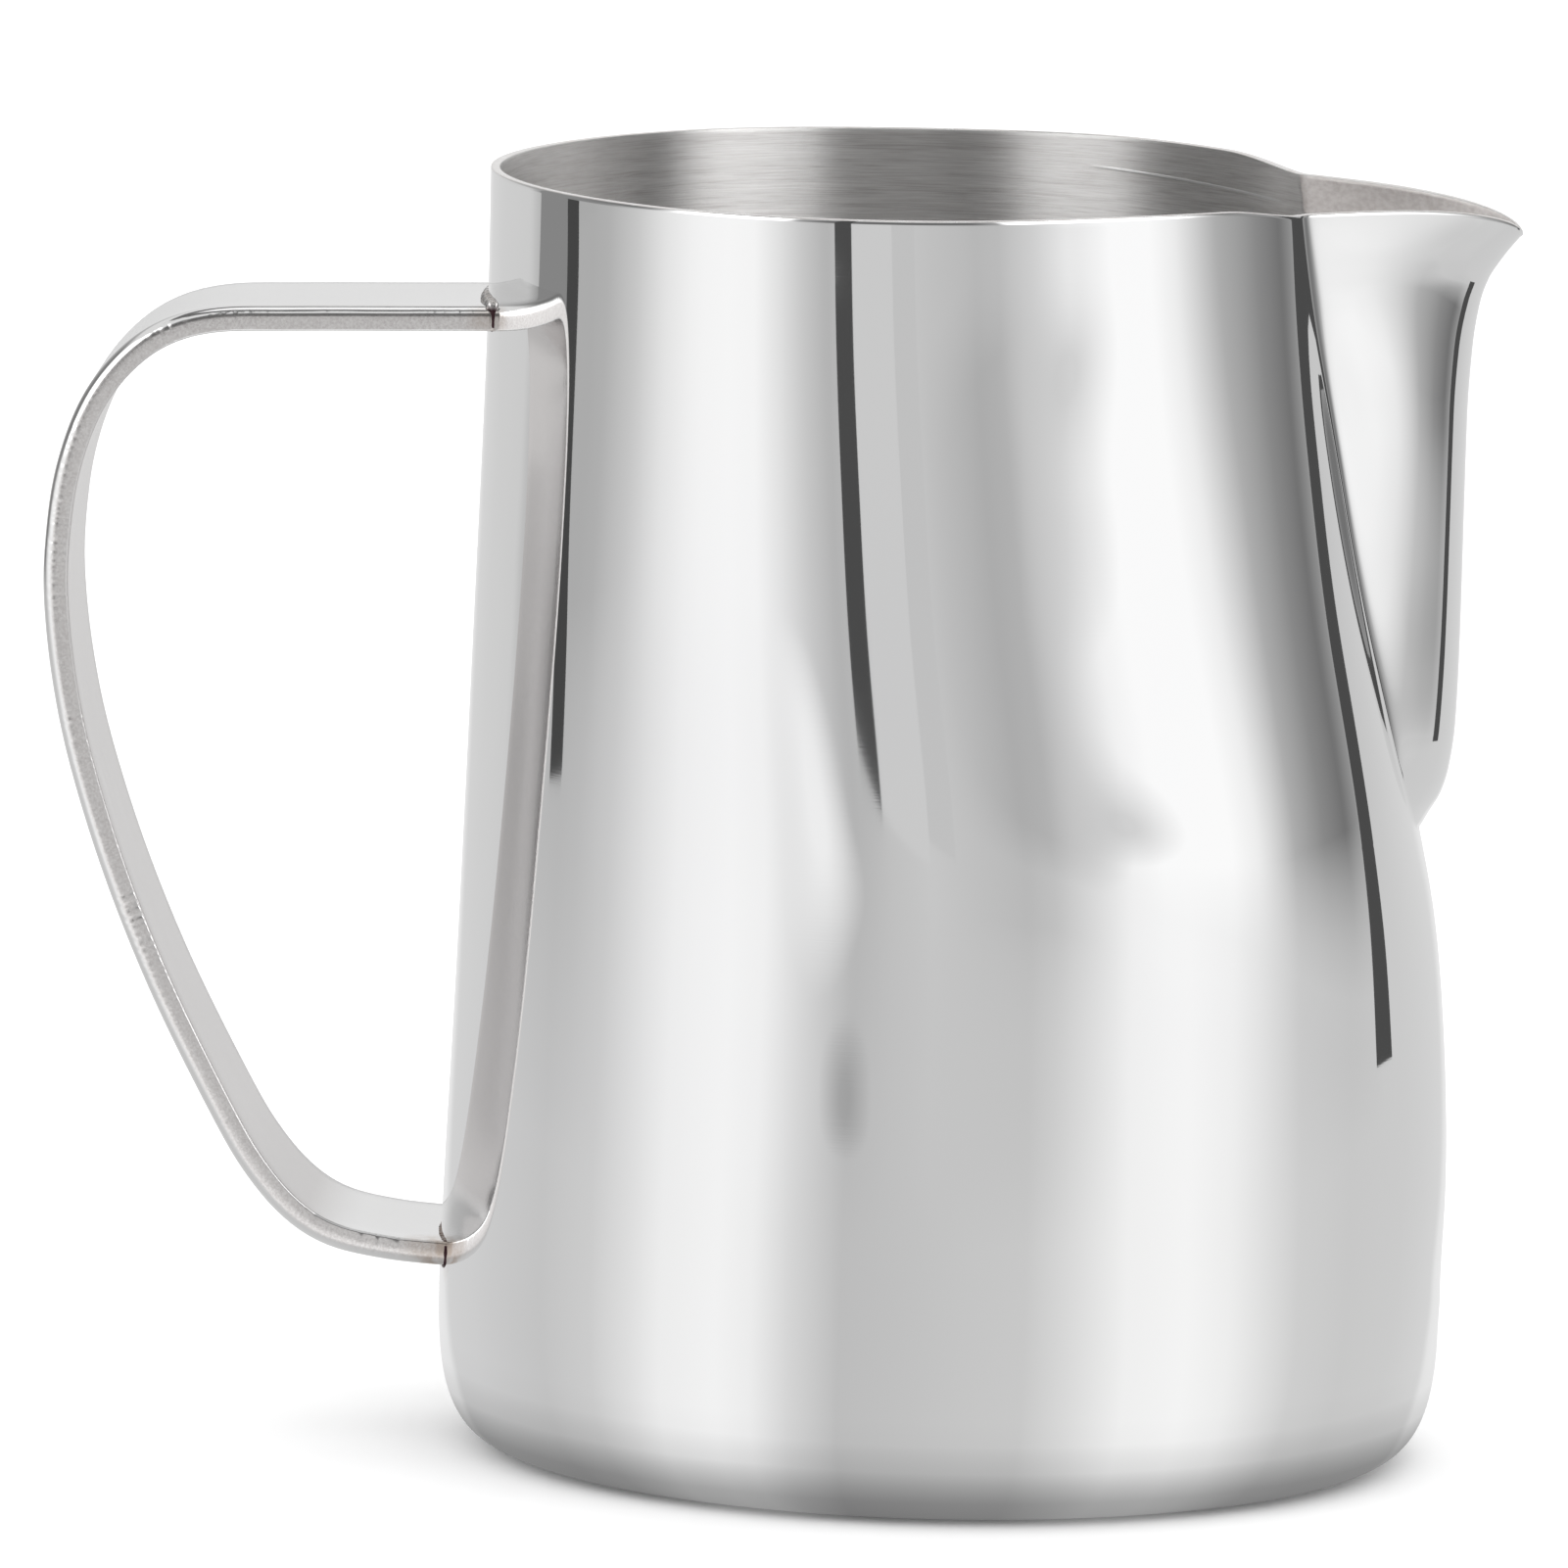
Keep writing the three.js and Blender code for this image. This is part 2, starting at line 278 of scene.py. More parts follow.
def body_columns():
    """For every column: share across the spout (0 at the ridge, 1 at the crease), share
    round the wall (0 at the crease, 1 at the back) and side."""
    spout = 1 - (1 - np.linspace(0, 1, SPOUT_COLUMNS_PER_SIDE + 1)) ** SPOUT_CROWDING
    wall = np.linspace(0, 1, WALL_COLUMNS_PER_SIDE + 1)[1:] ** WALL_CROWDING
    spout_share = np.concatenate([spout, np.ones(len(wall))])
    wall_share = np.concatenate([np.zeros(len(spout)), wall])
    side = np.ones(len(spout_share))
    back = slice(len(spout_share) - 2, 0, -1)
    return (
        np.concatenate([spout_share, spout_share[back]]),
        np.concatenate([wall_share, wall_share[back]]),
        np.concatenate([side, -side[back]]),
    )


def column_angles(spout_share, wall_share, crease):
    """Angle of each column from the spout when the crease stands at a given angle."""
    return np.where(wall_share > 0, crease + (180 - crease) * wall_share, crease * spout_share)


def rim_height(spout_share, wall_share):
    tip_drop = RIM_DROP_AT_TIP * (1 - spout_share) ** RIM_DROP_POWER
    crease = crease_angle_at(RIM_HEIGHT)
    angle = crease + (180 - crease) * wall_share
    near = (RIM_DROP_ANGLE - angle) / (RIM_DROP_ANGLE - crease)
    crease_drop = RIM_DROP_AT_CREASE * smooth_step(near)
    rise = RIM_RISE * np.exp(-0.5 * ((angle - RIM_RISE_ANGLE) / RIM_RISE_HALF_ANGLE) ** 2)
    rise = np.where(wall_share > 0, rise, 0)
    return RIM_HEIGHT + rise - crease_drop - tip_drop


def wall_rows():
    """Nominal heights of the wall's rows, closer together at the notch and at the lip."""
    spacing_at = straight_curve(ROW_SPACING)
    rows = [CORNER_HEIGHT]
    while rows[-1] < RIM_HEIGHT:
        rows.append(rows[-1] + float(spacing_at(rows[-1])))
    above_corner = np.array(rows) - CORNER_HEIGHT
    return CORNER_HEIGHT + above_corner * (RIM_HEIGHT - CORNER_HEIGHT) / above_corner[-1]


def outer_skin(columns):
    """Rows of points of the outer face, from the middle of the base up to the rim."""
    spout_share, wall_share, side = columns
    count = len(side)
    base_angle = np.radians(column_angles(spout_share, wall_share, LEAST_COLUMN_ANGLE))
    rows = [(np.full(count, radius), np.zeros(count)) for radius in BASE_RING_RADII]
    for i in range(1, CORNER_ROWS):
        turn = (math.pi / 2) * i / CORNER_ROWS
        radius = BASE_FLAT_RADIUS + CORNER_REACH * math.sin(turn) ** (2 / CORNER_ROUNDNESS)
        z = CORNER_HEIGHT * (1 - math.cos(turn) ** (2 / CORNER_ROUNDNESS))
        rows.append((np.full(count, radius), np.full(count, z)))
    points = [
        np.stack([r * np.cos(base_angle), side * r * np.sin(base_angle), z], 1) for r, z in rows
    ]

    rim = rim_height(spout_share, wall_share)
    for nominal in wall_rows():
        stretch = max(0.0, nominal - RIM_DROP_START) / (RIM_HEIGHT - RIM_DROP_START)
        z = nominal - (RIM_HEIGHT - rim) * stretch
        crease = crease_angle_at(z)
        angle = column_angles(spout_share, wall_share, np.maximum(crease, LEAST_COLUMN_ANGLE))
        radius = wall_radius(angle, z)
        x = radius * np.cos(np.radians(angle))
        y = radius * np.sin(np.radians(angle))
        on_spout = (angle <= crease + 1e-9) & (z > NOTCH_HEIGHT) & (crease > 0.01)
        share = np.where(on_spout, angle / np.maximum(crease, 0.01), 1.0)
        crease_radius = wall_radius(crease, z)
        crease_x = crease_radius * np.cos(np.radians(crease))
        crease_y = crease_radius * np.sin(np.radians(crease))
        bulge = 1 - share ** spout_roundness_at(z)
        spout_x = crease_x + (spout_reach_at(z) - crease_x) * bulge
        x = np.where(on_spout, spout_x, x)
        y = np.where(on_spout, crease_y * share, y)
        points.append(round_the_crease(x, y, z, crease_x, crease_y, on_spout, side))
    return np.array(points)


def round_the_crease(x, y, z, crease_x, crease_y, on_spout, side):
    """Turns the sharp valley beside the spout into a small rounded one."""
    away = np.hypot(x - crease_x, y - crease_y)
    first_wall = SPOUT_COLUMNS_PER_SIDE + 1
    steep = np.array([x[first_wall - 4] - crease_x[0], y[first_wall - 4] - crease_y[0]])
    level = np.array([x[first_wall + 3] - crease_x[0], y[first_wall + 3] - crease_y[0]])
    if not on_spout.any() or np.hypot(*steep) < 1e-6 or np.hypot(*level) < 1e-6:
        return np.stack([x, side * y, z], 1)
    steep = steep / np.hypot(*steep)
    level = level / np.hypot(*level)
    middle = steep + level
    fold = np.hypot(*middle) / 2
    if fold < 1e-4:
        return np.stack([x, side * y, z], 1)
    middle = middle / np.hypot(*middle)
    below_rim = np.clip((RIM_HEIGHT - z.max()) / CREASE_ROUNDING_FADE, 0, 1)
    share = CREASE_ROUNDING_AT_RIM + (1 - CREASE_ROUNDING_AT_RIM) * below_rim
    rounding = CREASE_ROUNDING * share
    lift = fold * (np.sqrt(away**2 + rounding**2) - away)
    lift = lift * np.clip(2 - away / (CREASE_ROUNDING_REACH * rounding), 0, 1)
    lift = lift * smooth_step(y / RIDGE_HALF_WIDTH)
    return np.stack([x + middle[0] * lift, side * (y + middle[1] * lift), z], 1)


def inner_skin(outer):
    """The outer face moved in by the thickness of the sheet."""
    across = np.roll(outer, -1, axis=1) - np.roll(outer, 1, axis=1)
    upward = np.empty_like(outer)
    upward[1:-1] = outer[2:] - outer[:-2]
    upward[0] = outer[1] - outer[0]
    upward[-1] = outer[-1] - outer[-2]
    outward = np.cross(across, upward)
    outward /= np.linalg.norm(outward, axis=2, keepdims=True)
    return outer - outward * SHEET


OUTSIDE, INSIDE, EDGE, LIP = range(4)


def make_body(materials):
    """One closed skin: up the outside, over the cut edge and down the inside."""
    outer = outer_skin(body_columns())
    inner = inner_skin(outer)
    count = outer.shape[1]
    # The cut edge of the sheet is rounded over in a half circle.
    top_outer, top_inner = outer[-1], inner[-1]
    centre = (top_outer + top_inner) / 2
    arm = (top_outer - top_inner) / 2
    crown = np.array([0, 0, EDGE_CROWN])
    edge_rows = []
    for i in range(1, RIM_ROWS):
        turn = math.pi * i / RIM_ROWS
        edge_rows.append(centre + arm * math.cos(turn) + crown * (math.sin(turn) - 1))
    outer[-1] -= crown
    inner[-1] -= crown

    rings = [*outer, *edge_rows, *inner[::-1]]
    verts = np.concatenate([np.array([[0, 0, 0]]), *rings, np.array([[0, 0, SHEET]])])
    faces, kinds = [], []
    for c in range(count):
        faces.append((0, 1 + (c + 1) % count, 1 + c))
        kinds.append(OUTSIDE)
    outer_last = len(outer) - 1
    edge_last = outer_last + len(edge_rows) + 1
    for r in range(len(rings) - 1):
        kind = OUTSIDE if r < outer_last else EDGE if r < edge_last else INSIDE
        low = 1 + r * count
        high = low + count
        lip_row = kind == INSIDE and rings[r][:, 2].mean() > LIP_SATIN_HEIGHT
        for c in range(count):
            after = (c + 1) % count
            faces.append((low + c, low + after, high + after, high + c))
            on_spout = min(c, count - 1 - c) < SPOUT_COLUMNS_PER_SIDE
            kinds.append(LIP if lip_row and on_spout else kind)
    last = 1 + (len(rings) - 1) * count
    for c in range(count):
        faces.append((last + c, last + (c + 1) % count, len(verts) - 1))
        kinds.append(INSIDE)
    return mesh_object("body_shell", verts, faces, materials, kinds)


# ------------------------------------------------------------------ strap handle


def catmull_rom(points, t):
    """Point and direction on a smooth curve through the points; t runs from 0 to 1."""
    points = np.array(points, float)
    place = t * (len(points) - 1)
    i = min(int(place), len(points) - 2)
    u = place - i
    p1, p2 = points[i], points[i + 1]
    p0 = points[i - 1] if i > 0 else p1
    p3 = points[i + 2] if i + 2 < len(points) else p2
    m1, m2 = (p2 - p0) / 2, (p3 - p1) / 2
    point = (
        (2 * u**3 - 3 * u**2 + 1) * p1
        + (u**3 - 2 * u**2 + u) * m1
        + (3 * u**2 - 2 * u**3) * p2
        + (u**3 - u**2) * m2
    )
    slope = (
        (6 * u**2 - 6 * u) * p1
        + (3 * u**2 - 4 * u + 1) * m1
        + (6 * u - 6 * u**2) * p2
        + (3 * u**2 - 2 * u) * m2
    )
    return point, slope / np.linalg.norm(slope)


def even_path(points, count):
    """Evenly spaced points and directions along the outline."""
    fine = [catmull_rom(points, t) for t in np.linspace(0, 1, OUTLINE_SAMPLES)]
    place = np.array([p for p, _ in fine])
    direction = np.array([d for _, d in fine])
    # A light smoothing takes out the small changes of curvature at the outline's points.
    kernel = np.hanning(OUTLINE_SMOOTHING)
    kernel /= kernel.sum()
    margin = OUTLINE_SMOOTHING // 2
    padded = np.pad(place, ((margin, margin), (0, 0)), mode="edge")
    soft = np.stack([np.convolve(padded[:, k], kernel, mode="valid") for k in (0, 1)], 1)
    soft[:OUTLINE_ENDS_KEPT] = place[:OUTLINE_ENDS_KEPT]
    soft[-OUTLINE_ENDS_KEPT:] = place[-OUTLINE_ENDS_KEPT:]
    step = np.linalg.norm(np.diff(soft, axis=0), axis=1)
    run = np.concatenate([[0], np.cumsum(step)])
    even = np.linspace(0, run[-1], count)
    place = np.stack([np.interp(even, run, soft[:, k]) for k in (0, 1)], 1)
    direction = np.gradient(place, axis=0)
    direction /= np.linalg.norm(direction, axis=1, keepdims=True)
    return place, direction


def strap_section():
    """Points round the strap's section: (across the width, depth from the outer face)."""
    half = STRAP_WIDTH / 2
    points = []

    def arc(cx, cy, radius, start, end, steps):
        for i in range(steps + 1):
            turn = math.radians(start + (end - start) * i / steps)
            points.append((cx + radius * math.cos(turn), cy + radius * math.sin(turn)))

    ro, ri = STRAP_OUTER_EDGE_RADIUS, STRAP_INNER_EDGE_RADIUS
    for share in np.linspace(-1, 1, 9)[1:-1]:
        points.append((share * (half - ro), 0.0))
    arc(half - ro, ro, ro, -90, 0, 7)
    arc(half - ri, STRAP_THICKNESS - ri, ri, 0, 90, 4)
    for share in np.linspace(1, -1, 9)[1:-1]:
        points.append((share * (half - ri), STRAP_THICKNESS))
    arc(-half + ri, STRAP_THICKNESS - ri, ri, 90, 180, 4)
    arc(-half + ro, ro, ro, 180, 270, 7)
    return np.array(points)


def wall_face_x(y, z):
    """The handle side of the round wall at a place across and up."""
    radius = wall_radius_at(z)
    return -np.sqrt(radius**2 - y**2)


def make_strap(material):
    place, direction = even_path(STRAP_OUTLINE, STRAP_STATIONS)
    section = strap_section()
    rng = np.random.default_rng(7)
    burr = np.convolve(rng.normal(0, 1, len(place) + 2), (0.25, 0.5, 0.25), mode="valid")
    coarse = rng.normal(0, 1, len(place) + BURR_PATCH - 1)
    patch = np.convolve(coarse, np.hanning(BURR_PATCH) / 5.5, mode="valid")
    burr = burr * np.clip(patch * 0.6 + 0.5, 0, 1.5) * BURR_HEIGHT
    inward = np.stack([-direction[:, 1], direction[:, 0]], 1)
    verts = []
    for i in range(len(place)):
        for across, depth in section:
            inner_band = depth > STRAP_THICKNESS - INNER_BURR_BAND
            if abs(depth - BURR_DEPTH) < BURR_BAND or inner_band:
                across = across * (1 - abs(burr[i]) / STRAP_WIDTH * 2)
            x = place[i, 0] + inward[i, 0] * depth
            z = place[i, 1] + inward[i, 1] * depth
            if x > STRAP_FREE_X:
                x = min(x, wall_face_x(across + STRAP_SIDESTEP, z) + STRAP_SINK)
            verts.append((x, across + STRAP_SIDESTEP, z))
    verts = np.array(verts).reshape(len(place), len(section), 3)
    # Stations that were pressed flat against the wall are dropped, all but the last one.
    keep = [i for i in range(len(place)) if place[i, 0] < STRAP_END_X]
    verts = verts[keep[0] - 1 : keep[-1] + 2].copy()
    for end in (0, -1):
        for k in range(len(section)):
            verts[end, k, 0] = wall_face_x(verts[end, k, 1], verts[end, k, 2]) + STRAP_SINK
    rows, ring = verts.shape[0], verts.shape[1]
    faces = []
    for r in range(rows - 1):
        for k in range(ring):
            k2 = (k + 1) % ring
            faces.append((r * ring + k, (r + 1) * ring + k, (r + 1) * ring + k2, r * ring + k2))
    flat = verts.reshape(-1, 3)
    faces.append(tuple(range(ring)))
    faces.append(tuple(range(len(flat) - 1, len(flat) - 1 - ring, -1)))
    return mesh_object("strap", flat, faces, [material])


# ------------------------------------------------------------------ weld beads


def make_weld(name, height, top_size, side_size, under_size, seed, material):
    """A rippled bead that runs round the strap's end, in the corner between strap and wall."""
    rng = np.random.default_rng(seed)
    half_w, half_t = STRAP_WIDTH / 2, STRAP_THICKNESS / 2
    radius = WELD_CORNER_RADIUS
    corners = [
        (half_w - radius, half_t - radius, 0), (-half_w + radius, half_t - radius, 90),
        (-half_w + radius, -half_t + radius, 180), (half_w - radius, -half_t + radius, 270),
    ]
    outline = []
    for cy, cz, start in corners:
        for i in range(WELD_CORNER_STEPS + 1):
            turn = math.radians(start + 90 * i / WELD_CORNER_STEPS)
            outline.append((cy + radius * math.cos(turn), cz + radius * math.sin(turn)))
    outline = np.array(outline + outline[:1])
    run = np.concatenate([[0], np.cumsum(np.linalg.norm(np.diff(outline, axis=0), axis=1))])
    count = WELD_STATIONS
    even = np.linspace(0, run[-1], count, endpoint=False)
    ys = np.interp(even, run, outline[:, 0]) + STRAP_SIDESTEP
    zs = np.interp(even, run, outline[:, 1])
    drift = rng.uniform(0, 6, count).cumsum() * 0.01
    ripple = np.sin(even * 2 * math.pi / WELD_RIPPLE_PITCH + drift)
    lumps = np.convolve(np.tile(rng.normal(0, 1, count), 3), np.hanning(9) / 4, mode="same")
    lumps = lumps[count : 2 * count]
    sides = WELD_SIDES
    verts = []
    for i in range(count):
        before, after = (i - 1) % count, (i + 1) % count
        ty, tz = ys[after] - ys[before], zs[after] - zs[before]
        length = math.hypot(ty, tz)
        oy, oz = tz / length, -ty / length
        if oy * (ys[i] - STRAP_SIDESTEP) * 0.1 + oz * zs[i] < 0:
            oy, oz = -oy, -oz
        size = side_size + (top_size - side_size) * max(oz, 0) ** 1.5
        size = size + (under_size - side_size) * max(-oz, 0) ** 1.5
        size = size * (1 + 0.16 * ripple[i] + 0.14 * lumps[i])
        wx = wall_face_x(ys[i], height)
        wall_distance = math.hypot(wx, ys[i])
        nx, ny = wx / wall_distance, ys[i] / wall_distance
        for k in range(sides):
            turn = 2 * math.pi * k / sides
            out = size * math.cos(turn)
            off = size * math.sin(turn)
            verts.append((wx + nx * off, ys[i] + ny * off + oy * out, height + zs[i] + oz * out))
    faces = []
    for i in range(count):
        j = (i + 1) % count
        for k in range(sides):
            k2 = (k + 1) % sides
            faces.append((i * sides + k, j * sides + k, j * sides + k2, i * sides + k2))
    return mesh_object(name, verts, faces, [material])


# ------------------------------------------------------------------ materials


class Nodes:
    """Short names for building a material's node tree."""

    def __init__(self, name):
        self.material = bpy.data.materials.new(name)
        self.material.use_nodes = True
        self.tree = self.material.node_tree
        self.tree.nodes.clear()
        self.out = self.add("ShaderNodeOutputMaterial")

    def add(self, kind, **values):
        node = self.tree.nodes.new(kind)
        for key, value in values.items():
            setattr(node, key, value)
        return node

    def join(self, source, target):
        self.tree.links.new(source, target)

    def math(self, operation, a, b=None, c=None):
        node = self.add("ShaderNodeMath", operation=operation)
        for socket, value in zip(node.inputs, (a, b, c)):
            if value is None:
                continue
            if hasattr(value, "is_output"):
                self.join(value, socket)
            else:
                socket.default_value = value
        return node.outputs[0]

    def place(self):
        return self.add("ShaderNodeTexCoord").outputs["Object"]

    def noise(self, vector, scale, detail=3.0, roughness=0.5):
        node = self.add("ShaderNodeTexNoise")
        self.join(vector, node.inputs["Vector"])
        node.inputs["Scale"].default_value = scale
        node.inputs["Detail"].default_value = detail
        node.inputs["Roughness"].default_value = roughness
        return node.outputs["Fac"]

    def ramp(self, value, stops, interpolation="LINEAR"):
        node = self.add("ShaderNodeValToRGB")
        node.color_ramp.interpolation = interpolation
        elements = node.color_ramp.elements
        while len(elements) > 1:
            elements.remove(elements[-1])
        elements[0].position = stops[0][0]
        elements[0].color = colour4(stops[0][1])
        for position, colour in stops[1:]:
            element = elements.new(position)
            element.color = colour4(colour)
        self.join(value, node.inputs["Fac"])
        return node.outputs["Color"]

    def spread(self, value, low, high, to_low, to_high):
        node = self.add("ShaderNodeMapRange")
        self.join(value, node.inputs["Value"])
        node.inputs["From Min"].default_value = low
        node.inputs["From Max"].default_value = high
        node.inputs["To Min"].default_value = to_low
        node.inputs["To Max"].default_value = to_high
        return node.outputs["Result"]

    def stretched(self, scale):
        node = self.add("ShaderNodeMapping")
        node.inputs["Scale"].default_value = scale
        self.join(self.place(), node.inputs["Vector"])
        return node.outputs["Vector"]

    def round_the_axis(self, along, up):
        """A vector for brush lines that run round the body: (angle, height, 0), scaled."""
        split = self.add("ShaderNodeSeparateXYZ")
        self.join(self.place(), split.inputs[0])
        angle = self.math("ARCTAN2", split.outputs["Y"], split.outputs["X"])
        merge = self.add("ShaderNodeCombineXYZ")
        self.join(self.math("MULTIPLY", angle, along), merge.inputs["X"])
        self.join(self.math("MULTIPLY", split.outputs["Z"], up), merge.inputs["Y"])
        return merge.outputs[0]

    def bump(self, height, strength, distance):
        node = self.add("ShaderNodeBump")
        node.inputs["Strength"].default_value = strength
        node.inputs["Distance"].default_value = distance
        self.join(height, node.inputs["Height"])
        return node.outputs["Normal"]

    def near(self, point, inner, outer):
        """1 close to a point, falling to 0, in metres."""
        node = self.add("ShaderNodeVectorMath", operation="DISTANCE")
        self.join(self.place(), node.inputs[0])
        node.inputs[1].default_value = point
        return self.spread(node.outputs["Value"], inner, outer, 1.0, 0.0)

    def metal(self, **constants):
        node = self.add("ShaderNodeBsdfPrincipled")
        node.inputs["Metallic"].default_value = 1.0
        for key, value in constants.items():
            node.inputs[key.replace("_", " ")].default_value = value
        self.join(node.outputs["BSDF"], self.out.inputs["Surface"])
        return node


def colour4(colour):
    if isinstance(colour, (int, float)):
        colour = (colour, colour, colour)
    return (*colour, 1.0)


# A near-black for the weld beads' ends that face the camera (at the upper weld a painted reflection
# of the strap's bend), the oxide colour left by the welding, and the ends of the two joints that
# face the camera, in metres.
DARK_END_AND_PAINTED_REFLECTION = (0.06, 0.03, 0.035)
OXIDE = (0.40, 0.27, 0.17)
# Height in metres where the scribed line would cross the spout, its climb per radian, and
# the middle and half length of the line in radians from the spout.
SCRIBE_HEIGHT, SCRIBE_CLIMB = 0.10706, 0.00181
SCRIBE_MIDDLE, SCRIBE_HALF_LENGTH = 0.96, 0.34
UPPER_JOINT = (-0.0405, -0.0084, 0.0990)
LOWER_JOINT = (-0.0431, -0.0084, 0.0168)


def mix_colour(n, share, a, b):
    node = n.add("ShaderNodeMix", data_type="RGBA")
    n.join(share, node.inputs["Factor"])
    for socket, value in ((node.inputs[6], a), (node.inputs[7], b)):
        if hasattr(value, "is_output"):
            n.join(value, socket)
        else:
            socket.default_value = colour4(value)
    return node.outputs[2]


def heat_tint(n, base, joints):
    """Brown to straw-coloured oxide round the welded joints, broken up with noise."""
    patch = n.noise(n.place(), 900.0, 3.0)
    colour = base
    for joint, reach, strength in joints:
        share = n.math("MULTIPLY", n.near(joint, reach * 0.3, reach), strength)
        share = n.math("MULTIPLY", share, n.spread(patch, 0.35, 0.6, 0.35, 1.0))
        colour = mix_colour(n, share, colour, OXIDE)
    return colour


def polished_outside():
    n = Nodes("mirror_polished_steel")
    metal = n.metal()
    cloud = n.noise(n.place(), 18.0, 2.0)
    base = n.ramp(cloud, [(0.3, (0.945, 0.945, 0.95)), (0.7, (0.965, 0.965, 0.962))])
    n.join(heat_tint(n, base, [(LOWER_JOINT, 0.0025, 0.35)]), metal.inputs["Base Color"])
    haze = n.noise(n.place(), 60.0, 3.0)
    n.join(n.spread(haze, 0.3, 0.7, 0.012, 0.035), metal.inputs["Roughness"])
    waves = n.noise(n.stretched((1, 1, 0.45)), 34.0, 1.0)
    lines = n.noise(n.round_the_axis(6.0, 5200.0), 1.0, 2.0)
    height = n.math("MULTIPLY_ADD", lines, 0.006, waves)
    n.join(n.bump(height, 1.0, 0.00002), metal.inputs["Normal"])
    return n.material


def scribed_line(n):
    """A fine fill mark scratched just below the rim, on the far side next to the spout."""
    split = n.add("ShaderNodeSeparateXYZ")
    n.join(n.place(), split.inputs[0])
    angle = n.math("ARCTAN2", split.outputs["Y"], split.outputs["X"])
    height = n.math("MULTIPLY_ADD", angle, SCRIBE_CLIMB, SCRIBE_HEIGHT)
    off = n.math("ABSOLUTE", n.math("SUBTRACT", split.outputs["Z"], height))
    along = n.math("ABSOLUTE", n.math("SUBTRACT", angle, SCRIBE_MIDDLE))
    ends = n.spread(along, 0.8 * SCRIBE_HALF_LENGTH, SCRIBE_HALF_LENGTH, 1.0, 0.0)
    return n.math("MULTIPLY", n.spread(off, 0.00006, 0.00016, 1.0, 0.0), ends)


def brushed_inside():
    n = Nodes("brushed_steel_inside")
    metal = n.metal(Anisotropic=1.0, Anisotropic_Rotation=0.25)
    tangent = n.add("ShaderNodeTangent", direction_type="RADIAL", axis="Z")
    n.join(tangent.outputs["Tangent"], metal.inputs["Tangent"])
    fine = n.noise(n.round_the_axis(9.0, 6500.0), 1.0, 4.0, 0.6)
    broad = n.noise(n.round_the_axis(2.2, 1500.0), 1.0, 2.0, 0.5)
    lines = n.math("ADD", n.math("MULTIPLY", fine, 0.62), n.math("MULTIPLY", broad, 0.38))
    base = n.ramp(
        lines,
        [(0.34, (0.66, 0.64, 0.63)), (0.50, (0.86, 0.85, 0.84)), (0.66, (0.99, 0.98, 0.97))],
    )
    scratch = scribed_line(n)
    n.join(mix_colour(n, scratch, base, (1.0, 1.0, 1.0)), metal.inputs["Base Color"])
    n.join(n.spread(lines, 0.35, 0.65, 0.34, 0.42), metal.inputs["Roughness"])
    height = n.math("MULTIPLY_ADD", scratch, 2.0, lines)
    n.join(n.bump(height, 0.5, 0.00005), metal.inputs["Normal"])
    return n.material


def satin_lip():
    """The inner face of the spout's lip, rubbed to a pale satin across the brush lines."""
    n = Nodes("satin_lip_steel")
    metal = n.metal()
    rubbed = n.noise(n.stretched((260, 2600, 2600)), 1.0, 3.0)
    base = n.ramp(rubbed, [(0.32, (0.87, 0.82, 0.80)), (0.65, (1.0, 0.96, 0.94))])
    n.join(base, metal.inputs["Base Color"])
    n.join(n.spread(rubbed, 0.3, 0.7, 0.42, 0.55), metal.inputs["Roughness"])
    n.join(n.bump(rubbed, 0.3, 0.00003), metal.inputs["Normal"])
    return n.material


def cut_edge():
    n = Nodes("buffed_sheet_edge")
    metal = n.metal()
    patch = n.noise(n.place(), 700.0, 3.0)
    base = n.ramp(patch, [(0.35, (0.90, 0.87, 0.85)), (0.65, (0.98, 0.97, 0.96))])
    n.join(base, metal.inputs["Base Color"])
    n.join(n.spread(patch, 0.3, 0.7, 0.14, 0.28), metal.inputs["Roughness"])
    return n.material


def strap_steel():
    """Polished outer face, a duller inner face, and narrow edges with a sheared grain."""
    n = Nodes("polished_strap_steel")
    metal = n.metal()
    split = n.add("ShaderNodeSeparateXYZ")
    n.join(n.add("ShaderNodeNewGeometry").outputs["Normal"], split.inputs[0])
    edge = n.spread(n.math("ABSOLUTE", split.outputs["Y"]), 0.93, 0.995, 0.0, 1.0)
    grain = n.noise(n.stretched((60, 4200, 60)), 1.0, 4.0, 0.6)
    sheared = n.noise(n.stretched((5200, 900, 5200)), 1.0, 2.0, 0.5)
    cloud = n.noise(n.place(), 45.0, 3.0)
    face = n.ramp(cloud, [(0.3, (0.90, 0.895, 0.89)), (0.7, (0.94, 0.94, 0.94))])
    cut = n.ramp(sheared, [(0.32, (0.80, 0.77, 0.76)), (0.7, (0.94, 0.92, 0.91))])
    inside = n.spread(split.outputs["X"], 0.2, 0.6, 0.0, 1.0)
    base = mix_colour(n, edge, mix_colour(n, inside, face, (0.70, 0.68, 0.675)), cut)
    joints = [(LOWER_JOINT, 0.0042, 0.6), (UPPER_JOINT, 0.0026, 0.35)]
    n.join(heat_tint(n, base, joints), metal.inputs["Base Color"])
    rough = n.math("ADD", n.spread(grain, 0.3, 0.7, 0.07, 0.14), n.math("MULTIPLY", edge, 0.10))
    rough = n.math("MULTIPLY_ADD", inside, 0.12, rough)
    n.join(rough, metal.inputs["Roughness"])
    height = n.math("ADD", grain, n.math("MULTIPLY", n.math("MULTIPLY", sheared, edge), 0.5))
    n.join(n.bump(height, 0.3, 0.00003), metal.inputs["Normal"])
    return n.material


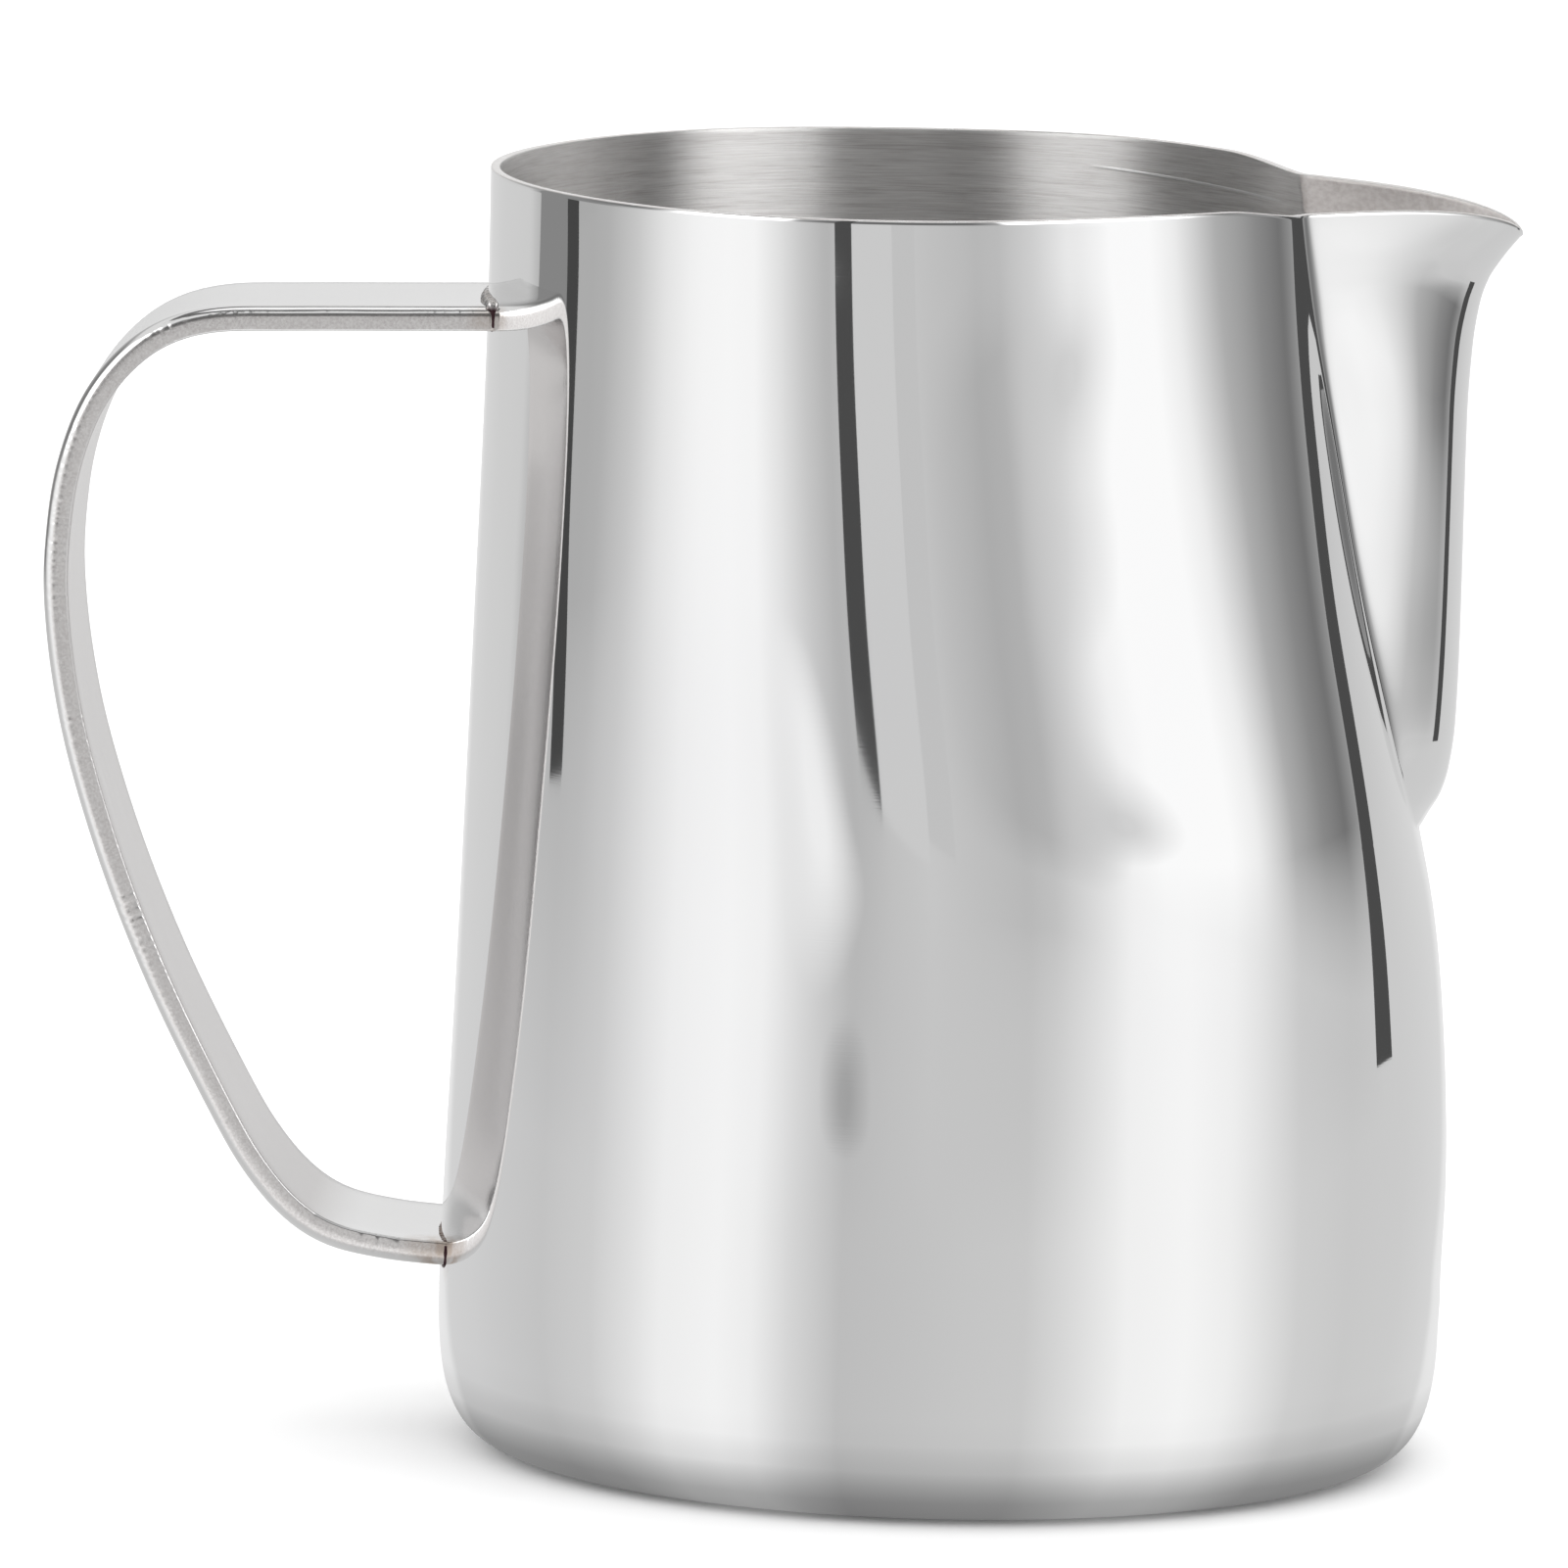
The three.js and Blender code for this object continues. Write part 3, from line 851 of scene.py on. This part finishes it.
def weld_metal(name, light, dark, brown, side_joint):
    n = Nodes(name)
    metal = n.metal()
    patch = n.noise(n.place(), 1300.0, 4.0)
    spots = n.noise(n.place(), 420.0, 2.0)
    base = n.ramp(patch, [(0.35, dark), (0.65, light)])
    base = mix_colour(n, n.spread(spots, 0.42, 0.62, 0.0, 1.0), base, brown)
    # Near-black round the joint's end that faces the camera: on the upper weld a painted reflection
    # of the strap's bend, on the lower weld simply darker there.
    base = mix_colour(n, n.near(side_joint, 0.0010, 0.0016), base, DARK_END_AND_PAINTED_REFLECTION)
    n.join(base, metal.inputs["Base Color"])
    n.join(n.spread(patch, 0.3, 0.7, 0.16, 0.36), metal.inputs["Roughness"])
    n.join(n.bump(patch, 0.6, 0.0001), metal.inputs["Normal"])
    return n.material


# ------------------------------------------------------------------ studio

# Brightness of the studio walls by azimuth: 0 is behind the camera, 90 the spout's side.
# Two broad softboxes stand at about -55 and 60, with dimmer cloth between and beside them.
WALL_LIGHT = [
    (-180, 0.76), (-150, 0.62), (-133, 0.60), (-127, 0.26), (-116, 0.22), (-104, 0.24),
    (-98, 0.27), (-92, 0.42), (-85, 0.58), (-75, 0.84), (-60, 0.98), (-42, 1.0),
    (-34, 0.82), (-27, 0.58), (-20, 0.42), (-11, 0.56), (-2, 0.62), (6, 0.54), (20, 0.43),
    (27, 0.46), (36, 0.66), (46, 0.92), (54, 1.0), (73, 1.0), (81, 0.88), (87, 0.66), (93, 0.43),
    (104, 0.26), (114.5, 0.17), (121.5, 0.30), (125, 0.56), (180, 0.76),
]
# Higher up only the softboxes and the wall behind the pitcher are lit.
HIGH_LIGHT = [
    (-180, 0.80), (-170, 0.75), (-158, 0.50), (-130, 0.34), (-105, 0.20), (-90, 0.18),
    (-82, 0.30), (-75, 0.80), (-67, 2.0), (-40, 2.3), (-34, 1.7), (-29, 0.34), (-20, 0.15),
    (0, 0.13), (20, 0.16), (27, 0.36), (31, 1.9), (50, 2.3), (84, 2.2), (90, 1.0), (98, 0.22),
    (108, 0.30), (140, 0.5), (165, 0.72), (180, 0.80),
]
TOP_LIGHT = 0.75
# The table in front of those walls shows them more faintly. Its far part takes over some of
# the wall's own light: distances in metres where that starts and is full, and the share.
FAR_START, FAR_FULL, FAR_SHARE = 0.30, 0.85, 0.55
TABLE_LIGHT = [
    (-180, 0.82), (-172, 0.80), (-164, 0.66), (-141, 0.64), (-105, 0.57), (-87, 0.63),
    (-75, 0.76), (-66, 0.88), (-51, 0.93), (-42, 0.88), (-33, 0.70), (-21, 0.53),
    (-9, 0.55), (6, 0.58), (21, 0.60), (33, 0.74), (45, 0.90), (60, 0.94), (72, 0.88),
    (84, 0.74), (93, 0.64), (111, 0.60), (135, 0.62), (165, 0.68), (172, 0.80), (180, 0.82),
]
# Plan of the studio walls: azimuth, distance in metres.
WALL_PLAN = [
    (-180, 0.90), (-150, 0.86), (-117, 0.75), (-60, 0.85), (-15, 0.96), (25, 0.85),
    (75, 0.50), (116, 0.385), (150, 0.60), (180, 0.90),
]
# Heights in metres: the wall's top, its blend into the table, and where the high lights and
# then the even light at the top take over.
WALL_TOP = 1.4
WALL_FOOT_BLEND = 0.06
HIGH_START, HIGH_FULL = 0.145, 0.225
TOP_START, TOP_FULL = 0.62, 0.80
# Dark flags and cards: azimuth of both edges, distance, lowest and highest edge, lean in
# degrees per metre of height, brightness.
FLAGS = [
    (-106.2, -101.5, 0.56, 0.0, 0.06, -110, 0.06), (-124.2, -110.5, 0.70, 0.0, 0.3, 0, 0.24),
    (-17.2, -12.7, 0.90, 0.009, 1.3, 0, 0.07), (-12.5, -2.2, 0.90, 0.009, 0.12, 0, 0.61),
    (-2.2, 3.6, 0.90, 0.018, 0.12, 0, 0.55), (114.5, 121.2, 0.36, 0.0, 1.35, 0, 0.07),
]
# Soft patches in the walls: azimuth, height, half-size in degrees and in metres, light, share.
WALL_PATCHES = [(45.0, 0.086, 13.0, 0.024, 0.58, 0.75), (36.0, 0.070, 9.0, 0.032, 0.55, 0.40)]
# Soft patches on the table: azimuth, distance, half-size in degrees and in metres, light, share.
TABLE_PATCHES = [
    (-29.0, 0.74, 9.0, 0.14, 0.92, 0.90), (-21.5, 0.50, 5.0, 0.045, 0.20, 0.45),
]
# The pitcher's own shade on the table: distances between which it fades, and how it fades.
SHADOW_REACH = (0.036, 0.076)
CONTACT_SHADOW = [(0.0, 0.30), (0.15, 0.42), (0.32, 0.80), (0.6, 0.97), (1.0, 1.0)]
# Brightness of the ceiling by distance from the axis, in metres.
CEILING_LIGHT = [(0.0, 1.0), (0.42, 1.0), (0.5, 0.14), (1.0, 0.12)]
BODY_RADIUS = 0.044
ROOM_RADIUS = 1.0
FLOOR_RADIUS = 8.0
TABLE_HEIGHT, FLOOR_HEIGHT = -0.0002, -0.0001
FLOOR_WHITE = 0.93
WORLD_LIGHT = 1.5


def azimuth_share(n):
    """0 to 1 round the vertical axis, with 0.5 behind the camera.

    Close to the body the light fans out faster than the azimuth, as light thrown back
    from a round polished wall does.
    """
    split = n.add("ShaderNodeSeparateXYZ")
    n.join(n.place(), split.inputs[0])
    toward_camera = n.math("MULTIPLY", split.outputs["Y"], -1.0)
    angle = n.math("ARCTAN2", split.outputs["X"], toward_camera)
    fan = n.math("SUBTRACT", 2.0, n.math("DIVIDE", BODY_RADIUS, distance_from_axis(n)))
    spread_angle = n.math("DIVIDE", n.math("MULTIPLY", angle, 2.0), fan)
    return n.math("MULTIPLY_ADD", spread_angle, 1 / (2 * math.pi), 0.5)


def distance_from_axis(n):
    split = n.add("ShaderNodeSeparateXYZ")
    n.join(n.place(), split.inputs[0])
    squares = [n.math("POWER", split.outputs[axis], 2.0) for axis in ("X", "Y")]
    return n.math("SQRT", n.math("ADD", *squares))


def light_shades(n, stops):
    return n.ramp(azimuth_share(n), [((a + 180) / 360, v) for a, v in stops])


def patched(n, shade, along, patches):
    """Lays soft round patches over a light; along is the height or the distance."""
    for azimuth, centre, half_angle, half_length, light, strength in patches:
        off = n.math("SUBTRACT", azimuth_share(n), (azimuth + 180) / 360)
        off = n.math("POWER", n.math("DIVIDE", off, half_angle / 360), 2.0)
        far = n.math("POWER", n.math("DIVIDE", n.math("SUBTRACT", along, centre), half_length), 2.0)
        reach = n.math("SQRT", n.math("ADD", off, far))
        shade = mix_colour(n, n.spread(reach, 0.25, 1.25, strength, 0.0), shade, light)
    return shade


def glow_from(n, shade):
    glow = n.add("ShaderNodeEmission")
    n.join(shade, glow.inputs["Color"])
    n.join(glow.outputs[0], n.out.inputs["Surface"])
    return n.material


def wall_light():
    n = Nodes("studio_wall_light")
    split = n.add("ShaderNodeSeparateXYZ")
    n.join(n.place(), split.inputs[0])
    foot = n.spread(split.outputs["Z"], 0.0, WALL_FOOT_BLEND, 0.0, 1.0)
    foot = n.math("MAXIMUM", foot, far_share(n))
    low = mix_colour(n, foot, light_shades(n, TABLE_LIGHT), light_shades(n, WALL_LIGHT))
    high = n.spread(split.outputs["Z"], HIGH_START, HIGH_FULL, 0.0, 1.0)
    low = patched(n, low, split.outputs["Z"], WALL_PATCHES)
    shade = mix_colour(n, high, low, light_shades(n, HIGH_LIGHT))
    top = n.spread(split.outputs["Z"], TOP_START, TOP_FULL, 0.0, 1.0)
    shade = mix_colour(n, top, shade, TOP_LIGHT)
    return glow_from(n, shade)


def far_share(n):
    """How much of the wall's own light the far table and the wall's foot show."""
    return n.spread(distance_from_axis(n), FAR_START, FAR_FULL, 0.0, FAR_SHARE)


def table_light():
    n = Nodes("table_light")
    near = n.ramp(n.spread(distance_from_axis(n), *SHADOW_REACH, 0.0, 1.0), CONTACT_SHADOW)
    shade = n.add("ShaderNodeMix", data_type="RGBA", blend_type="MULTIPLY")
    shade.inputs["Factor"].default_value = 1.0
    lit = mix_colour(n, far_share(n), light_shades(n, TABLE_LIGHT), light_shades(n, WALL_LIGHT))
    lit = patched(n, lit, distance_from_axis(n), TABLE_PATCHES)
    n.join(lit, shade.inputs[6])
    n.join(near, shade.inputs[7])
    return glow_from(n, shade.outputs[2])


def ceiling_light():
    """A bright overhead panel in a dark ceiling."""
    n = Nodes("ceiling_light")
    return glow_from(n, n.ramp(distance_from_axis(n), CEILING_LIGHT))


def plain_floor():
    n = Nodes("white_floor")
    shader = n.add("ShaderNodeBsdfPrincipled")
    patch = n.noise(n.place(), 3.0, 2.0)
    base = n.ramp(patch, [(0.3, 0.995 * FLOOR_WHITE), (0.7, FLOOR_WHITE)])
    n.join(base, shader.inputs["Base Color"])
    shader.inputs["Roughness"].default_value = 0.9
    n.join(shader.outputs[0], n.out.inputs["Surface"])
    return n.material


def glow_material(name, strength):
    n = Nodes(name)
    glow = n.add("ShaderNodeEmission")
    glow.inputs["Color"].default_value = (strength, strength, strength, 1)
    n.join(glow.outputs[0], n.out.inputs["Surface"])
    return n.material


def only_in_reflections(obj):
    obj.visible_camera = False
    obj.visible_diffuse = False
    obj.visible_shadow = False
    obj.visible_transmission = False


def round_wall(name, start, end, plan, low, high, material, steps=96):
    """An upright sheet round the object: azimuths in degrees, distances and heights in metres."""
    verts, faces = [], []
    for i in range(steps + 1):
        azimuth = start + (end - start) * i / steps
        turn = math.radians(azimuth)
        distance = float(plan(azimuth))
        x, y = distance * math.sin(turn) / MM, -distance * math.cos(turn) / MM
        verts += [(x, y, low / MM), (x, y, high / MM)]
    for i in range(steps):
        faces.append((2 * i, 2 * i + 2, 2 * i + 3, 2 * i + 1))
    return mesh_object(name, verts, faces, [material])


def disc(name, radius, z, material, steps=96):
    """A level round sheet; radius and height in metres."""
    verts = [(0, 0, z / MM)]
    for i in range(steps):
        turn = 2 * math.pi * i / steps
        verts.append((radius * math.cos(turn) / MM, radius * math.sin(turn) / MM, z / MM))
    faces = [(0, 1 + i, 1 + (i + 1) % steps) for i in range(steps)]
    return mesh_object(name, verts, faces, [material], smooth=False)


def make_studio():
    wall_plan = smooth_curve(WALL_PLAN)
    wall = round_wall("studio_wall", -180, 180, wall_plan, 0.0, WALL_TOP, wall_light(), 240)
    only_in_reflections(wall)
    for i, (start, end, distance, low, top, lean, shade) in enumerate(FLAGS):
        cloth = glow_material(f"flag_cloth_{i}", shade)
        flag = round_wall(f"flag_{i}", start, end, lambda _, d=distance: d, low, top, cloth, 6)
        for corner in flag.data.vertices:
            corner.co = Matrix.Rotation(math.radians(lean * corner.co.z), 3, "Z") @ corner.co
        only_in_reflections(flag)
    only_in_reflections(disc("table_sheen", ROOM_RADIUS, TABLE_HEIGHT, table_light()))
    only_in_reflections(disc("ceiling", ROOM_RADIUS, WALL_TOP, ceiling_light()))
    floor = disc("floor", FLOOR_RADIUS, FLOOR_HEIGHT, plain_floor())
    floor.visible_glossy = False

    world = bpy.data.worlds.new("soft_white")
    bpy.context.scene.world = world
    world.use_nodes = True
    background = world.node_tree.nodes["Background"]
    background.inputs["Color"].default_value = (1, 1, 1, 1)
    background.inputs["Strength"].default_value = WORLD_LIGHT


def make_camera():
    data = bpy.data.cameras.new("camera")
    data.lens = LENS
    data.sensor_width = 36.0
    data.clip_start, data.clip_end = 0.05, 50.0
    camera = bpy.data.objects.new("camera", data)
    bpy.context.scene.collection.objects.link(camera)
    heading, pitch, roll = (
        math.radians(v) for v in (CAMERA_HEADING, CAMERA_PITCH, CAMERA_ROLL)
    )
    forward = Vector((
        math.sin(heading) * math.cos(pitch),
        math.cos(heading) * math.cos(pitch),
        math.sin(pitch),
    ))
    level = Vector((math.cos(heading), -math.sin(heading), 0))
    upright = level.cross(forward)
    right = level * math.cos(roll) + upright * math.sin(roll)
    up = right.cross(forward)
    turn = Matrix((right, up, -forward)).transposed().to_4x4()
    camera.matrix_world = Matrix.Translation(Vector(CAMERA_PLACE)) @ turn
    bpy.context.scene.camera = camera


# ------------------------------------------------------------------ build

body = make_body([polished_outside(), brushed_inside(), cut_edge(), satin_lip()])
strap = make_strap(strap_steel())
silver = weld_metal(
    "silver_weld", (0.93, 0.92, 0.91), (0.42, 0.41, 0.41), (0.60, 0.56, 0.53), UPPER_JOINT
)
tinted = weld_metal(
    "tinted_weld", (0.30, 0.22, 0.18), (0.05, 0.035, 0.03), (0.16, 0.09, 0.06), LOWER_JOINT
)
upper = make_weld("upper_weld_bead", UPPER_WELD_HEIGHT, 0.58, 0.1, 0.1, 4, silver)
lower = make_weld("lower_weld_bead", LOWER_WELD_HEIGHT, 0.2, 0.14, 0.14, 9, tinted)

for piece, node, slot_name in (
    (body, "pitcher_body", "polished_steel"),
    (strap, "handle_strap", "strap_steel"),
    (upper, "upper_weld", "weld_metal"),
    (lower, "lower_weld", "tinted_weld"),
):
    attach(piece, "root")
    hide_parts(node)

make_studio()
make_camera()

scene = bpy.context.scene
scene.view_settings.view_transform = "Standard"
scene.view_settings.look = "None"
scene.view_settings.exposure = 0.0

bpy.context.view_layer.update()
